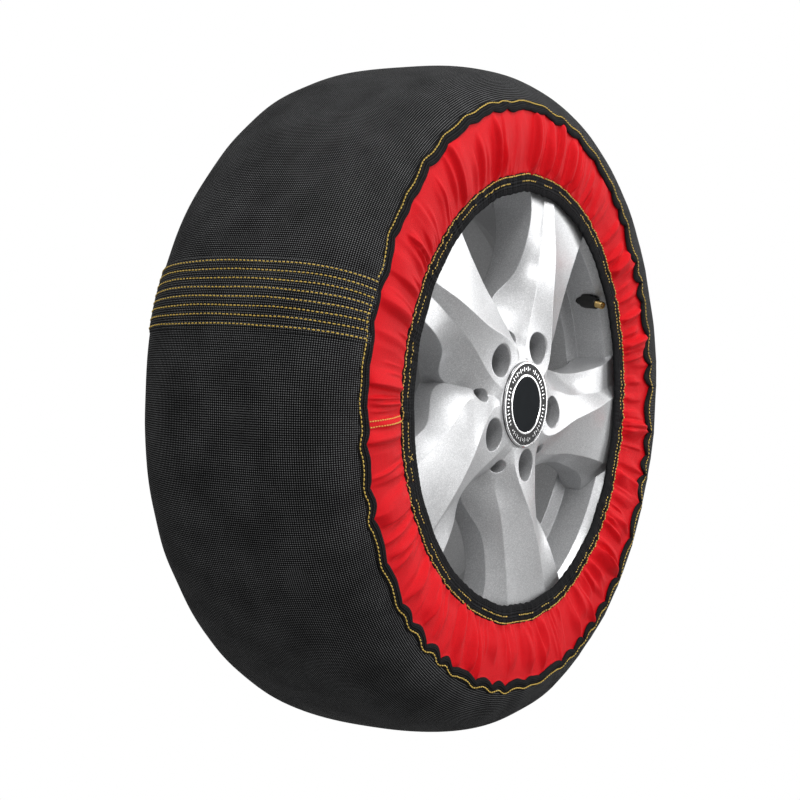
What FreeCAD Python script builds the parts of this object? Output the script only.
import FreeCAD, Part
import math
import os

# Car wheel and tyre with a textile snow sock pulled over it.
# Millimetres, +Z up, wheel axis along Y, styled face towards -Y, origin at the wheel's centre.

Vec = FreeCAD.Vector
AXIS_POINT = Vec(0, 0, 0)
WHEEL_AXIS = Vec(0, 1, 0)

# Meridian of the sock and the tyre: a superellipse from the widest radius to the crown
WIDEST_R = 257.0
SIDE_EXP = 2.93
CROWN_EXP = 2.52

# Sock
SOCK_R = 325.0
SOCK_HALF_W = 120.9
CLOTH = 2.4
SEAM_EDGE_R0 = 268.9
SEAM_EDGE_R1 = 280.0
SEAM_EDGE_PROUD = 0.3
SEAM_THREAD_R = 278.0
PANEL_R0 = 217.4
PANEL_CLOTH = 1.6
HEM_R0 = 196.0
HEM_R1 = 217.2
HEM_FRONT_Y0 = -113.8
HEM_FRONT_Y1 = -115.4
HEM_THICK = 3.4
HEM_PLY = 1.0
ELASTIC_EDGE_GAP = 0.1
HEM_THREAD_R = (206.5, 216.2)
THREAD_W = 0.9
THREAD_H = 0.5
LAP_START_DEG = 153.9
LAP_END_DEG = 164.9
LAP_PROUD = 0.8
LAP_ROWS = 8
PANEL_SEAM_DEG = 179.3
PANEL_SEAM_W = 9.0
TACK_DEG = 189.4
TACK_R = 201.4

# Tyre 235/45R17
TYRE_R = 321.65
TYRE_HALF_W = 117.6
CARCASS_CROWN_R = 309.65
CARCASS_HALF_W = 112.1
CARCASS_THICK = 2.0
LINER_THICK = 1.5
BELT_OUTER_R = 313.1
BELT_OUTER_HALF_W = 113.6
BELT_EDGE_Y = 88.0
BOND_GAP = 0.1
TREAD_EDGE_Y = 103.0
GROOVE_Y = (-62.0, -22.0, 22.0, 62.0)
GROOVE_W = 9.0
GROOVE_DEPTH = 7.5
BEAD_CORE_R = 225.5
BEAD_CORE_Y = 94.0
BEAD_CORE_SIZE = 7.0

# Rim 17 x 8J: lateral position and radius of the tyre side, then of the air side
RIM_OUTSIDE = (
    (-110.8, 231.0), (-109.5, 234.5), (-106.0, 236.2), (-102.6, 234.0), (-101.6, 230.0),
    (-101.6, 221.5), (-99.0, 218.4), (-80.0, 217.0), (-77.0, 218.5), (-73.5, 216.5),
    (-66.0, 213.5), (-54.0, 199.5), (-20.0, 198.5), (0.0, 212.0), (62.0, 215.5), (73.5, 216.5),
    (77.0, 218.5), (80.0, 217.0), (99.0, 218.4), (101.6, 221.5), (101.6, 230.0),
    (102.6, 234.0), (106.0, 236.2), (109.5, 234.5), (110.8, 231.0))
RIM_INSIDE = (
    (110.0, 226.5), (106.0, 220.0), (98.0, 211.5), (60.0, 208.5), (5.0, 205.5),
    (-17.0, 191.5), (-60.0, 191.5), (-65.5, 205.0), (-96.0, 208.0), (-106.5, 214.5),
    (-110.2, 224.0))

# Wheel centre
PAD_Y = -35.0
PAD_R = 76.0
BORE_R = 36.3
BORE_LENGTH = 25.0
BORE_RELIEF_R = 38.5
CAP_LIP_R = 35.0
CAP_LIP_DEPTH = 8.0
HUB_FACE_Y = -116.0
HUB_FACE_R = 48.0
BOLT_PCD = 120.0
BOLT_COUNT = 5
BOLT_HOLE_R = 7.25
BOLT_SEAT_R = 12.0
BOLT_POCKET_R = 15.6
BOLT_POCKET_FLOOR_Y = -58.0
BOLT_SEAT_Y = -49.0
BOLT_RIM_CHAMFER = 1.4
FIRST_BOLT_DEG = 60.7
DRAIN_R = 65.8
DRAIN_HOLE_R = 6.3
DRAIN_FLOOR_Y = -72.0
DRAIN_DEG = 24.6

# One spoke: (radius, angle in degrees, y) along five lines from the clockwise window edge,
# over the clockwise crease, the facet crease and the anticlockwise crease, to the other edge.
SPOKE_R = (44.0, 62.0, 80.0, 100.0, 118.0, 140.0, 164.0, 188.0, 212.0, 236.0)
CW_EDGE_DEG = (23.0, 22.5, 19.0, 24.0, 36.5, 42.0, 43.5, 43.5, 41.0, 38.0)
CW_EDGE_Y = (-115.0, -107.0, -91.0, -75.0, -82.0, -88.5, -91.0, -90.0, -80.0, -70.0)
CW_CREASE_DEG = (27.0, 26.0, 29.5, 37.5, 42.6, 46.0, 48.2, 49.4, 50.0, 50.4)
CW_CREASE_Y = (-115.0, -110.0, -103.0, -104.4, -105.3, -105.9, -106.6, -107.0, -107.0, -107.0)
FACET_DEG = (34.0, 38.0, 49.0, 58.0, 62.0, 65.0, 67.3, 69.2, 70.4, 71.0)
FACET_Y = (-116.0, -116.3, -117.0, -117.4, -117.4, -117.0, -115.0, -111.4, -108.8, -108.0)
CCW_CREASE_DEG = (84.0, 80.8, 76.6, 73.2, 72.2, 72.0, 71.8, 72.4, 73.6, 74.8)
CCW_CREASE_Y = (-115.8, -112.8, -111.2, -110.2, -109.2, -107.2, -105.2, -104.4, -104.0, -104.0)
CCW_EDGE_DEG = (97.8, 97.0, 94.6, 89.4, 83.0, 80.8, 80.4, 80.4, 81.6, 85.0)
CCW_EDGE_Y = (-115.0, -107.0, -91.0, -79.0, -88.6, -99.0, -104.0, -105.5, -103.0, -98.0)
SPOKE_BACK_Y = (-50.0, -50.5, -53.0, -57.0, -61.5, -66.0, -68.0, -64.0, -59.0, -55.0)

# Hollow in the back of each spoke
CORE_FIRST = 3
CORE_LAST = 8
CORE_SIDE_WALL = 9.0
CORE_FRONT_WALL = 12.0
CORE_OPEN_Y = -48.0

# Snap-in valve
VALVE_DEG = 26.6
VALVE_BASE_R = 213.0
VALVE_BASE_Y = -70.0
VALVE_TILT_DEG = 22.0
VALVE_HOLE_R = 5.75
VALVE_POCKET_R = 8.0
VALVE_POCKET_START = 13.0
VALVE_STEM_R = 5.6
VALVE_BULB_R = 7.6
VALVE_BARREL_R = 3.85
VALVE_BORE_R = 2.6
VALVE_LENGTH = 41.0
VALVE_PIN_R = 0.6
VALVE_CORE_START = 18.0
VALVE_CORE_BORE_R = 1.65
VALVE_SPRING_R = 1.25
VALVE_SPRING_WIRE_R = 0.16
VALVE_SHOULDER = 33.0

# Centre cap
CAP_R = 41.4
CAP_FRONT_Y = -118.7
CAP_BAND_R1 = 39.0
CAP_BAND_R0 = 29.0
CAP_DISC_R = 26.3
CAP_SKIRT_R = 34.55
CAP_SKIRT_WALL = 1.6
CAP_SKIRT_DEPTH = 13.0
CAP_CLIPS = 6
CAP_CLIP_SLOT_W = 7.0
CAP_WIRE_R = 0.8


def export(name, shape):
    """Write one node."""
    shape.exportStep("parts/%s.step" % name)


def xy(points):
    """Section points (radius, y) in the XY plane."""
    return [Vec(r, y, 0.0) for r, y in points]


def spline_edge(points):
    """A smooth edge through section points."""
    curve = Part.BSplineCurve()
    curve.interpolate(xy(points))
    return curve.toShape()


def line_edge(a, b):
    """A straight edge between two section points."""
    return Part.makeLine(Vec(a[0], a[1], 0.0), Vec(b[0], b[1], 0.0))


def band_face(outer, inner):
    """Face between two smooth lines of section points that run the same way."""
    edges = [spline_edge(outer), line_edge(outer[-1], inner[-1]),
             spline_edge(inner[::-1]), line_edge(inner[0], outer[0])]
    return Part.Face(Part.Wire(edges))


def poly_face(points):
    """Face inside a polygon of section points."""
    pts = xy(points)
    return Part.Face(Part.makePolygon(pts + [pts[0]]))


def turned(face, start_deg=0.0, sweep_deg=360.0):
    """Solid swept by a section about the wheel's axis, angles from +X towards +Z."""
    if start_deg:
        face = face.copy()
        face.rotate(AXIS_POINT, WHEEL_AXIS, -start_deg)
    solid = face.revolve(AXIS_POINT, WHEEL_AXIS, -sweep_deg)
    return solid if solid.ShapeType == "Solid" else Part.Solid(Part.Shell(solid.Faces))


def spun(shape, deg):
    """Copy of a shape turned about the wheel's axis, from +X towards +Z."""
    copy = shape.copy()
    copy.rotate(AXIS_POINT, WHEEL_AXIS, -deg)
    return copy


def polar(radius, deg, y):
    """Point from a radius, an angle from +X towards +Z, and a lateral position."""
    a = math.radians(deg)
    return Vec(radius * math.cos(a), y, radius * math.sin(a))


def signed_power(value, exponent):
    return math.copysign(abs(value) ** exponent, value)


def meridian_point(half_w, crown_r, t):
    """Point (radius, y) of a superellipse meridian; t runs 0 to pi from face to back."""
    y = -half_w * signed_power(math.cos(t), 2.0 / SIDE_EXP)
    r = WIDEST_R + (crown_r - WIDEST_R) * abs(math.sin(t)) ** (2.0 / CROWN_EXP)
    return (r, y)


def meridian_t_at_radius(crown_r, radius):
    """Parameter of the face side point at a radius."""
    ratio = (radius - WIDEST_R) / (crown_r - WIDEST_R)
    return math.asin(ratio ** (CROWN_EXP / 2.0))


def meridian_t_at_y(half_w, y):
    """Parameter of the point at a lateral position."""
    return math.acos(signed_power(-y / half_w, SIDE_EXP / 2.0))


def meridian(half_w, crown_r, t0, t1, count):
    """Points of the superellipse meridian between two parameters."""
    step = (t1 - t0) / (count - 1)
    return [meridian_point(half_w, crown_r, t0 + step * i) for i in range(count)]


def mirrored(points):
    """Section points on the other side of the wheel's mid plane."""
    return [(r, -y) for r, y in points]


def sock_line(offset, r0, count=60):
    """Meridian of the sock at an offset inwards, from radius r0 on the face to r0 on the back."""
    t0 = meridian_t_at_radius(SOCK_R - offset, r0)
    return meridian(SOCK_HALF_W - offset, SOCK_R - offset, t0, math.pi - t0, count)


def sock_face_line(offset, r0, r1, count=8):
    """Face side meridian of the sock at an offset inwards, between two radii."""
    crown = SOCK_R - offset
    t0 = meridian_t_at_radius(crown, r0)
    t1 = meridian_t_at_radius(crown, r1)
    return meridian(SOCK_HALF_W - offset, crown, t0, t1, count)


def panel_line(offset):
    """Side panel line from the hem to the seam edge, at an offset inwards."""
    base = ((PANEL_R0, -115.6), (226.0, -117.5), (238.0, -119.5), (249.0, -120.6),
            (WIDEST_R, -SOCK_HALF_W), (SEAM_EDGE_R0 - 0.1, -120.35))
    return [(r, y + offset) for r, y in base]


def hem_section():
    """Folded hem casing, open at its sewn outer edge, and the elastic inside it."""
    back0 = HEM_FRONT_Y0 + HEM_THICK
    back1 = HEM_FRONT_Y1 + HEM_THICK
    casing = poly_face((
        (HEM_R0 + 0.8, HEM_FRONT_Y0), (HEM_R1, HEM_FRONT_Y1),
        (HEM_R1, HEM_FRONT_Y1 + HEM_PLY), (HEM_R0 + HEM_PLY, HEM_FRONT_Y0 + HEM_PLY),
        (HEM_R0 + HEM_PLY, back0 - HEM_PLY), (HEM_R1, back1 - HEM_PLY),
        (HEM_R1, back1), (HEM_R0 + 0.8, back0), (HEM_R0, back0 - 0.8),
        (HEM_R0, HEM_FRONT_Y0 + 0.8)))
    in0 = HEM_R0 + HEM_PLY + ELASTIC_EDGE_GAP
    in1 = HEM_R1 - 3.0
    slope = (HEM_FRONT_Y1 - HEM_FRONT_Y0) / (HEM_R1 - HEM_R0)
    front0 = HEM_FRONT_Y0 + HEM_PLY + ELASTIC_EDGE_GAP
    front1 = front0 + slope * (in1 - in0)
    depth = HEM_THICK - 2 * HEM_PLY - 2 * ELASTIC_EDGE_GAP
    elastic = poly_face((
        (in0, front0), (in1, front1), (in1, front1 + depth), (in0, front0 + depth)))
    return casing, elastic


def surface_y_hem(radius):
    """Front of the hem at a radius."""
    part = (radius - HEM_R0) / (HEM_R1 - HEM_R0)
    return HEM_FRONT_Y0 + part * (HEM_FRONT_Y1 - HEM_FRONT_Y0)


def thread_ring(radius, y):
    """One circular line of stitching lying on a surface at y, on the face side."""
    return turned(poly_face((
        (radius - THREAD_W / 2, y), (radius + THREAD_W / 2, y),
        (radius + THREAD_W / 2, y - THREAD_H), (radius - THREAD_W / 2, y - THREAD_H))))


def seam_thread_ring():
    """Stitching through the seam edge, resting on its curved face."""
    outer = sock_face_line(-SEAM_EDGE_PROUD - THREAD_H, SEAM_THREAD_R - 0.5,
                           SEAM_THREAD_R + 0.5, 4)
    inner = sock_face_line(-SEAM_EDGE_PROUD, SEAM_THREAD_R - 0.5, SEAM_THREAD_R + 0.5, 4)
    return turned(band_face(outer, inner))


def lap_thread_row(deg):
    """One row of lap seam stitching, a strip across the tread at an angle."""
    edge = SEAM_EDGE_R1 + 0.5
    outer = sock_line(-LAP_PROUD - THREAD_H, edge)
    inner = sock_line(-LAP_PROUD, edge)
    half = math.degrees(THREAD_W / 2 / SOCK_R)
    return turned(band_face(outer, inner), deg - half, 2 * half)


def sock_nodes():
    """Every cloth, elastic and thread piece of the sock."""
    nodes = {}
    cloth_edge = SEAM_EDGE_R1 + 0.1
    nodes["sock_tread_fabric"] = turned(
        band_face(sock_line(0.0, cloth_edge), sock_line(CLOTH, cloth_edge)))
    nodes["sock_lap_patch"] = turned(
        band_face(sock_line(-LAP_PROUD, cloth_edge), sock_line(0.0, cloth_edge)),
        LAP_START_DEG, LAP_END_DEG - LAP_START_DEG)
    pitch = (LAP_END_DEG - LAP_START_DEG) / (LAP_ROWS - 1) * 0.93
    first = (LAP_START_DEG + LAP_END_DEG) / 2 - pitch * (LAP_ROWS - 1) / 2
    rows = [lap_thread_row(first + pitch * i) for i in range(LAP_ROWS)]
    nodes["sock_lap_stitches"] = Part.makeCompound(rows)

    edge = turned(band_face(
        sock_face_line(-SEAM_EDGE_PROUD, SEAM_EDGE_R0, SEAM_EDGE_R1),
        sock_face_line(CLOTH, SEAM_EDGE_R0, SEAM_EDGE_R1)))
    panel = turned(band_face(panel_line(0.0), panel_line(PANEL_CLOTH)))
    hem_face, elastic_face = hem_section()
    hem = turned(hem_face)
    elastic = turned(elastic_face)
    seam_thread = seam_thread_ring()
    hem_thread = Part.makeCompound([thread_ring(r, surface_y_hem(r) - 0.05)
                                    for r in HEM_THREAD_R])
    mid_plane = Vec(0, 1, 0)
    pieces = {"sock_seam_edge": edge, "sock_side_panel": panel, "sock_hem": hem,
              "sock_elastic": elastic, "sock_seam_stitches": seam_thread,
              "sock_hem_stitches": hem_thread}
    half = math.degrees(PANEL_SEAM_W / 2 / WIDEST_R)
    strip = band_face(panel_line(-0.5), panel_line(0.0))
    pieces["sock_joining_seam"] = turned(strip, PANEL_SEAM_DEG - half, 2 * half)
    thread = band_face(panel_line(-0.9), panel_line(-0.5))
    thread_half = math.degrees(THREAD_W / 2 / WIDEST_R)
    pieces["sock_joining_stitches"] = Part.makeCompound(
        [turned(thread, PANEL_SEAM_DEG + s * half * 0.45 - thread_half, 2 * thread_half)
         for s in (-1, 1)])
    for name, shape in pieces.items():
        nodes[name + "_outer"] = shape
        nodes[name + "_inner"] = shape.mirror(AXIS_POINT, mid_plane)
    nodes["sock_hem_bar_tack"] = bar_tack()
    return nodes


def bar_tack():
    """Small crossed stitch on the face of the hem."""
    y = surface_y_hem(TACK_R) - 0.35
    bars = []
    for angle in (-38.0, 38.0):
        bar = Part.makeBox(8.5, 0.7, 1.1, Vec(-4.25, -0.7, -0.55))
        bar.rotate(Vec(0, 0, 0), WHEEL_AXIS, angle)
        bar.translate(Vec(TACK_R, y, 0))
        bars.append(bar)
    cross = bars[0].fuse(bars[1])
    return spun(cross.removeSplitter(), TACK_DEG)


def carcass_line(offset, t0=0.0, t1=math.pi, count=56):
    """Meridian of the carcass ply at an offset inwards."""
    return meridian(CARCASS_HALF_W - offset, CARCASS_CROWN_R - offset, t0, t1, count)


def carcass_leg(offset):
    """Carcass points from the bead up to the widest radius on the face side."""
    w = CARCASS_HALF_W - offset
    return [(221.2, -100.0 + offset), (224.5, -100.0 + offset), (228.0, -100.0 + offset),
            (231.0, -100.2 + offset), (234.5, -101.5 + offset), (238.0, -103.8 + offset),
            (241.5, -106.2 + offset), (245.2, -w + 3.5), (249.0, -w + 1.6)]


def full_carcass_line(offset):
    """Carcass points from one bead over the crown to the other bead."""
    leg = carcass_leg(offset)
    return leg + carcass_line(offset) + mirrored(leg)[::-1]


def tyre_nodes():
    """Tread, belts, plies, sidewalls and bead cores."""
    nodes = {}
    t_edge = meridian_t_at_y(TYRE_HALF_W, -TREAD_EDGE_Y)
    t_carcass = meridian_t_at_y(CARCASS_HALF_W, -TREAD_EDGE_Y + 4.0)
    tread_outer = meridian(TYRE_HALF_W, TYRE_R, t_edge, math.pi - t_edge, 50)
    tread_inner = carcass_line(-BOND_GAP, t_carcass, math.pi - t_carcass, 50)
    t_belt = meridian_t_at_y(BELT_OUTER_HALF_W, -BELT_EDGE_Y)
    belt_outer = meridian(BELT_OUTER_HALF_W, BELT_OUTER_R, t_belt, math.pi - t_belt, 40)
    t_belt_in = meridian_t_at_y(CARCASS_HALF_W, -BELT_EDGE_Y)
    belt_inner = carcass_line(-2 * BOND_GAP, t_belt_in, math.pi - t_belt_in, 40)
    nodes["tyre_steel_belts"] = turned(band_face(belt_outer, belt_inner))

    t_room = meridian_t_at_y(BELT_OUTER_HALF_W, -BELT_EDGE_Y - 0.3)
    room_outer = meridian(BELT_OUTER_HALF_W + BOND_GAP, BELT_OUTER_R + BOND_GAP,
                          t_room, math.pi - t_room, 40)
    t_room_in = meridian_t_at_y(CARCASS_HALF_W, -BELT_EDGE_Y - 1.8)
    room_inner = carcass_line(1.0, t_room_in, math.pi - t_room_in, 40)
    face = band_face(tread_outer, tread_inner).cut(band_face(room_outer, room_inner))
    for y in GROOVE_Y:
        top = TYRE_R + 2.0
        groove = poly_face((
            (top, y - GROOVE_W / 2), (TYRE_R - GROOVE_DEPTH, y - GROOVE_W / 2 + 1.5),
            (TYRE_R - GROOVE_DEPTH, y + GROOVE_W / 2 - 1.5), (top, y + GROOVE_W / 2)))
        face = face.cut(groove)
    nodes["tyre_tread"] = turned(face.Faces[0])

    side_outer = [(221.9, -101.15), (224.5, -101.2), (227.5, -101.2), (230.5, -101.25),
                  (233.0, -101.8), (235.4, -102.9), (237.4, -106.0), (240.5, -110.5),
                  (245.5, -114.6), (251.0, -116.9)]
    side_outer += meridian(TYRE_HALF_W, TYRE_R, 0.0, t_edge - 0.004, 24)
    side_inner = [(r, y - BOND_GAP) for r, y in carcass_leg(0.0)]
    side_inner += carcass_line(-BOND_GAP, 0.0, t_carcass - 0.004, 24)
    sidewall = turned(band_face(side_outer, side_inner))
    nodes["tyre_sidewall_outer"] = sidewall
    nodes["tyre_sidewall_inner"] = sidewall.mirror(AXIS_POINT, WHEEL_AXIS)

    nodes["tyre_carcass_ply"] = turned(
        band_face(full_carcass_line(0.0), full_carcass_line(CARCASS_THICK)))
    start = CARCASS_THICK + BOND_GAP
    nodes["tyre_inner_liner"] = turned(
        band_face(full_carcass_line(start), full_carcass_line(start + LINER_THICK)))

    for side, sign in (("outer", -1), ("inner", 1)):
        y = sign * (BEAD_CORE_Y - BEAD_CORE_SIZE / 2)
        half = BEAD_CORE_SIZE / 2
        room = half + 2 * BOND_GAP
        core = turned(poly_face((
            (BEAD_CORE_R - half, y - half), (BEAD_CORE_R + half, y - half),
            (BEAD_CORE_R + half, y + half), (BEAD_CORE_R - half, y + half))))
        block = turned(poly_face((
            (219.2, sign * 95.8), (221.0, sign * 95.9), (240.0, sign * 95.8),
            (219.2 + 12.0, sign * 84.0), (218.9, sign * 83.0))))
        cavity = turned(poly_face((
            (BEAD_CORE_R - room, y - room), (BEAD_CORE_R + room, y - room),
            (BEAD_CORE_R + room, y + room), (BEAD_CORE_R - room, y + room))))
        nodes["tyre_bead_core_" + side] = core
        nodes["tyre_bead_filler_" + side] = block.cut(cavity)
    return nodes


def rim_barrel():
    """Rim of the wheel, with the valve's hole and its pocket cut through the front wall."""
    outline = [(r, y) for y, r in RIM_OUTSIDE + RIM_INSIDE]
    hole = valve_solid(((-30.0, VALVE_HOLE_R), (VALVE_POCKET_START, VALVE_HOLE_R),
                        (VALVE_POCKET_START, VALVE_POCKET_R), (60.0, VALVE_POCKET_R)))
    return turned(poly_face(outline)).cut(hole)


def radial_curve(radii, degs, ys):
    """Smooth edge that runs outwards along one spoke line."""
    curve = Part.BSplineCurve()
    points = [polar(r, d, y) for r, d, y in zip(radii, degs, ys)]
    curve.interpolate(Points=points, Parameters=list(radii))
    return curve.toShape()


def end_facets(edges, last):
    """Flat facets that close one end of a spoke."""
    points = [e.Vertexes[-1 if last else 0].Point for e in edges]
    centre = Vec(0, 0, 0)
    for p in points:
        centre = centre + p
    centre = centre * (1.0 / len(points))
    faces = []
    for i, p in enumerate(points):
        q = points[(i + 1) % len(points)]
        faces.append(Part.Face(Part.makePolygon([p, q, centre, p])))
    return faces


def ruled_solid(radii, lines):
    """Closed solid of ruled faces between lines that run outwards side by side."""
    edges = [radial_curve(radii, degs, ys) for degs, ys in lines]
    faces = []
    for i, edge in enumerate(edges):
        faces.append(Part.makeRuledSurface(edge, edges[(i + 1) % len(edges)]))
    faces += end_facets(edges, False)
    faces += end_facets(edges, True)
    shell = Part.makeShell(faces)
    shell.sewShape()
    solid = Part.makeSolid(shell)
    if solid.Volume < 0:
        solid.reverse()
    return solid


def spoke():
    """One spoke: ruled faces between its five front lines and two back lines."""
    return ruled_solid(SPOKE_R, (
        (CW_EDGE_DEG, CW_EDGE_Y), (CW_CREASE_DEG, CW_CREASE_Y), (FACET_DEG, FACET_Y),
        (CCW_CREASE_DEG, CCW_CREASE_Y), (CCW_EDGE_DEG, CCW_EDGE_Y),
        (CCW_EDGE_DEG, SPOKE_BACK_Y), (CW_EDGE_DEG, SPOKE_BACK_Y)))


def spoke_core_hollow():
    """Hollow cast into the back of a spoke, leaving a wall under the front faces."""
    radii = SPOKE_R[CORE_FIRST:CORE_LAST]

    def inset(degs, turn):
        return [d + turn * math.degrees(CORE_SIDE_WALL / r) for d, r in
                zip(degs[CORE_FIRST:CORE_LAST], radii)]

    def sunk(ys):
        return [y + CORE_FRONT_WALL for y in ys[CORE_FIRST:CORE_LAST]]

    cw_edge = inset(CW_EDGE_DEG, 1.0)
    ccw_edge = inset(CCW_EDGE_DEG, -1.0)
    open_back = [CORE_OPEN_Y] * len(radii)
    return ruled_solid(radii, (
        (cw_edge, sunk(CW_EDGE_Y)), (inset(CW_CREASE_DEG, 0.5), sunk(CW_CREASE_Y)),
        (inset(FACET_DEG, 0.0), sunk(FACET_Y)),
        (inset(CCW_CREASE_DEG, -0.3), sunk(CCW_CREASE_Y)),
        (ccw_edge, sunk(CCW_EDGE_Y)), (ccw_edge, open_back), (cw_edge, open_back)))


def axial_cylinder(radius, x_radius, deg, y0, y1):
    """Cylinder along the wheel's axis, centred at a radius and angle."""
    start = polar(x_radius, deg, y0)
    return Part.makeCylinder(radius, y1 - y0, start, WHEEL_AXIS)


def bolt_cutter(deg):
    """Pocket, cone seat and clearance hole of one wheel bolt."""
    radius = BOLT_PCD / 2
    pocket = axial_cylinder(BOLT_POCKET_R, radius, deg, -125.0, BOLT_POCKET_FLOOR_Y)
    hole = axial_cylinder(BOLT_HOLE_R, radius, deg, BOLT_POCKET_FLOOR_Y - 1.0, PAD_Y + 5.0)
    seat = Part.makeCone(BOLT_SEAT_R, BOLT_HOLE_R, BOLT_SEAT_Y - BOLT_POCKET_FLOOR_Y,
                         polar(radius, deg, BOLT_POCKET_FLOOR_Y), WHEEL_AXIS)
    lead = Part.makeCone(BOLT_POCKET_R + 6.0, BOLT_POCKET_R, 6.0,
                         polar(radius, deg, HUB_FACE_Y - 6.0 + BOLT_RIM_CHAMFER), WHEEL_AXIS)
    return pocket.fuse([hole, seat, lead])


def rim_air_side():
    """Space inside the front of the rim, which the spokes fill up to the rim's wall."""
    wall = [(r, y) for y, r in RIM_INSIDE if y < 0.0]
    return turned(poly_face([(0.01, wall[0][1])] + wall + [(224.0, -125.0), (0.01, -125.0)]))


def hub_bore_space():
    """Space inside the hub for the car's hub and the cap, kept clear of the spokes' ends."""
    return turned(poly_face((
        (0.01, PAD_Y + 5.0), (BORE_R, PAD_Y + 5.0), (BORE_R, PAD_Y - BORE_LENGTH),
        (BORE_RELIEF_R, PAD_Y - BORE_LENGTH - 1.0),
        (BORE_RELIEF_R, HUB_FACE_Y + CAP_LIP_DEPTH + 2.0),
        (CAP_LIP_R, HUB_FACE_Y + CAP_LIP_DEPTH), (CAP_LIP_R, HUB_FACE_Y + 0.8),
        (CAP_LIP_R + 0.8, HUB_FACE_Y), (CAP_LIP_R + 0.8, -125.0), (0.01, -125.0))))


def wheel_centre():
    """Hub and five spokes, trimmed to the rim."""
    step = 360.0 / BOLT_COUNT
    hub = turned(poly_face((
        (BORE_R, PAD_Y), (PAD_R, PAD_Y), (PAD_R + 3.0, PAD_Y - 14.0), (PAD_R + 6.0, PAD_Y - 24.0),
        (HUB_FACE_R, PAD_Y - 24.0), (HUB_FACE_R, HUB_FACE_Y + 3.5),
        (HUB_FACE_R - 4.5, HUB_FACE_Y + 0.6), (HUB_FACE_R - 6.0, HUB_FACE_Y),
        (CAP_LIP_R + 0.8, HUB_FACE_Y),
        (CAP_LIP_R, HUB_FACE_Y + 0.8), (CAP_LIP_R, HUB_FACE_Y + CAP_LIP_DEPTH),
        (BORE_RELIEF_R, HUB_FACE_Y + CAP_LIP_DEPTH + 2.0),
        (BORE_RELIEF_R, PAD_Y - BORE_LENGTH - 1.0), (BORE_R, PAD_Y - BORE_LENGTH))))
    one = spoke().cut(spoke_core_hollow())
    body = hub
    for i in range(BOLT_COUNT):
        body = body.fuse(spun(one, step * i))
    for i in range(BOLT_COUNT):
        body = body.cut(bolt_cutter(FIRST_BOLT_DEG + step * i))
        body = body.cut(axial_cylinder(DRAIN_HOLE_R, DRAIN_R, DRAIN_DEG + step * i, -125.0,
                                       DRAIN_FLOOR_Y))
    return body.common(rim_air_side()).cut(hub_bore_space())


def valve_frame():
    """Base point and direction of the valve's axis."""
    a = math.radians(VALVE_DEG)
    tilt = math.radians(VALVE_TILT_DEG)
    direction = Vec(-math.sin(tilt) * math.cos(a), -math.cos(tilt), -math.sin(tilt) * math.sin(a))
    return polar(VALVE_BASE_R, VALVE_DEG, VALVE_BASE_Y), direction


def valve_solid(profile, bore=()):
    """Turned valve piece from (distance along the valve, radius) points, less a bore."""
    base, direction = valve_frame()

    def lathe(points):
        pts = [Vec(0, 0, points[0][0])] + [Vec(r, 0, z) for z, r in points]
        pts.append(Vec(0, 0, points[-1][0]))
        face = Part.Face(Part.makePolygon(pts + [pts[0]]))
        solid = face.revolve(Vec(0, 0, 0), Vec(0, 0, 1), 360)
        return solid if solid.ShapeType == "Solid" else Part.Solid(Part.Shell(solid.Faces))

    solid = lathe(profile)
    if bore:
        solid = solid.cut(lathe(bore))
    turn = FreeCAD.Rotation(Vec(0, 0, 1), direction)
    solid.Placement = FreeCAD.Placement(base, turn)
    return solid


def valve_nodes():
    """Rubber stem, brass barrel, core, spring and pin of the valve."""
    nodes = {}
    top = VALVE_LENGTH
    bore = VALVE_BARREL_R + 0.02
    rubber = ((-14.0, 5.0), (-13.2, 8.2), (-9.0, 8.6), (-7.2, VALVE_STEM_R),
              (VALVE_POCKET_START, VALVE_STEM_R), (VALVE_POCKET_START, VALVE_BULB_R),
              (17.0, VALVE_BULB_R), (24.0, 6.5), (31.0, 5.6), (32.0, 4.9))
    nodes["valve_rubber_stem"] = valve_solid(rubber, ((-15.0, bore), (33.0, bore)))
    barrel = [(-12.5, VALVE_BARREL_R)]
    z = 32.4
    while z < top - 1.0:
        barrel += [(z, VALVE_BARREL_R), (z + 0.4, VALVE_BARREL_R - 0.45), (z + 0.8, VALVE_BARREL_R)]
        z += 0.9
    barrel += [(top - 0.5, VALVE_BARREL_R), (top, VALVE_BARREL_R - 0.5)]
    nodes["valve_brass_barrel"] = valve_solid(
        barrel, ((-13.5, 1.9), (14.0, 1.9), (15.0, VALVE_BORE_R), (top + 1.0, VALVE_BORE_R)))
    guide = VALVE_PIN_R + 0.35
    nodes["valve_core_body"] = valve_solid(
        ((VALVE_CORE_START, VALVE_BORE_R - 0.02), (top - 3.2, VALVE_BORE_R - 0.02)),
        ((VALVE_CORE_START - 1.0, VALVE_CORE_BORE_R), (VALVE_SHOULDER, VALVE_CORE_BORE_R),
         (VALVE_SHOULDER, guide), (top, guide)))
    nodes["valve_pin"] = valve_solid(
        ((VALVE_CORE_START - 1.5, 2.1), (VALVE_CORE_START, 2.1), (VALVE_CORE_START, VALVE_PIN_R),
         (top - 1.2, VALVE_PIN_R), (top - 1.1, 1.2), (top - 0.6, 1.2)))
    nodes["valve_core_spring"] = valve_spring()
    return nodes


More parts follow.
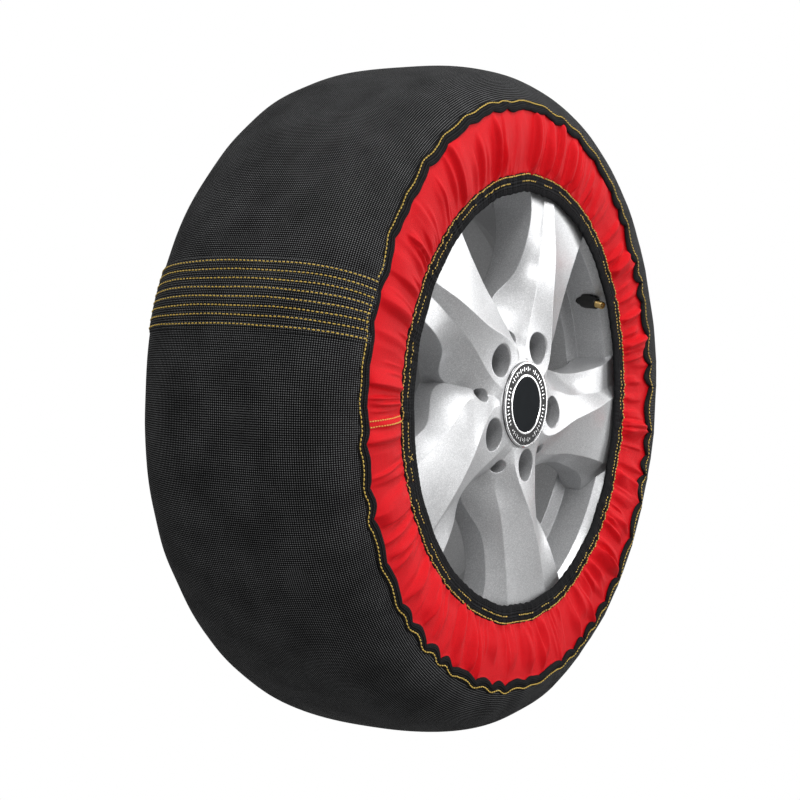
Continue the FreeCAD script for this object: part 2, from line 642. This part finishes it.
def valve_spring():
    """Coil spring round the pin inside the core body, up against its shoulder."""
    base, direction = valve_frame()
    length = 13.0
    helix = Part.makeHelix(1.6, length, VALVE_SPRING_R)
    circle = Part.Wire(Part.Edge(Part.Circle(Vec(VALVE_SPRING_R, 0, 0), Vec(0, 1, 0),
                                             VALVE_SPRING_WIRE_R)))
    spring = Part.Wire(helix).makePipeShell([circle], True, False)
    spring.translate(Vec(0, 0, VALVE_SHOULDER - VALVE_SPRING_WIRE_R - length))
    turn = FreeCAD.Rotation(Vec(0, 0, 1), direction)
    moved = spring.copy()
    moved.Placement = FreeCAD.Placement(base, turn).multiply(spring.Placement)
    return moved


def cap_nodes():
    """Centre cap: body with clips, two trim rings, disc and spring ring."""
    nodes = {}
    back = HUB_FACE_Y
    skirt_end = back + CAP_SKIRT_DEPTH
    inner = CAP_SKIRT_R - CAP_SKIRT_WALL
    body = turned(poly_face((
        (0.01, back - 0.6), (CAP_DISC_R + 0.2, back - 0.6), (CAP_DISC_R + 0.2, back - 1.4),
        (CAP_BAND_R0, back - 1.4), (CAP_BAND_R0, back - 2.2), (CAP_BAND_R1, back - 2.2),
        (CAP_BAND_R1, back - 1.0), (CAP_R, back - 1.0), (CAP_R, back), (CAP_SKIRT_R, back),
        (CAP_SKIRT_R, skirt_end), (inner, skirt_end), (inner, back + 1.6), (0.01, back + 1.6))))
    slots = []
    for i in range(CAP_CLIPS):
        box = Part.makeBox(20.0, CAP_SKIRT_DEPTH, CAP_CLIP_SLOT_W,
                           Vec(25.0, back + 2.6, -CAP_CLIP_SLOT_W / 2))
        slots.append(spun(box, 360.0 / CAP_CLIPS * i))
    nodes["cap_body"] = body.cut(slots)
    nodes["cap_outer_ring"] = turned(poly_face((
        (CAP_BAND_R1 + 0.05, back - 1.0), (CAP_R, back - 1.0), (CAP_R, back - 2.0),
        (CAP_R - 0.7, CAP_FRONT_Y), (CAP_BAND_R1 + 0.5, CAP_FRONT_Y),
        (CAP_BAND_R1 + 0.05, back - 2.2))))
    nodes["cap_inner_ring"] = turned(poly_face((
        (CAP_DISC_R + 0.25, back - 1.4), (CAP_BAND_R0 - 0.05, back - 1.4),
        (CAP_BAND_R0 - 0.05, back - 2.4), (CAP_BAND_R0 - 0.6, CAP_FRONT_Y),
        (CAP_DISC_R + 0.8, CAP_FRONT_Y), (CAP_DISC_R + 0.25, back - 2.3))))
    nodes["cap_disc"] = turned(poly_face((
        (0.01, back - 0.6), (CAP_DISC_R, back - 0.6), (CAP_DISC_R, back - 2.0),
        (CAP_DISC_R - 1.0, back - 2.3), (0.01, back - 2.3))))
    wire_y = skirt_end - 2.2
    ring = Part.makeTorus(inner - CAP_WIRE_R - 0.05, CAP_WIRE_R, Vec(0, wire_y, 0), WHEEL_AXIS)
    nodes["cap_spring_ring"] = ring
    return nodes


def main():
    os.makedirs("parts", exist_ok=True)
    nodes = {}
    nodes["wheel_rim"] = rim_barrel()
    nodes["wheel_centre"] = wheel_centre()
    nodes.update(tyre_nodes())
    nodes.update(valve_nodes())
    nodes.update(cap_nodes())
    nodes.update(sock_nodes())
    for name, shape in nodes.items():
        export(name, shape)
        box = shape.BoundBox
        print("%-30s solids %3d valid %s volume %10.0f y %.1f %.1f" % (
            name, len(shape.Solids), shape.isValid(), shape.Volume, box.YMin, box.YMax))


main()
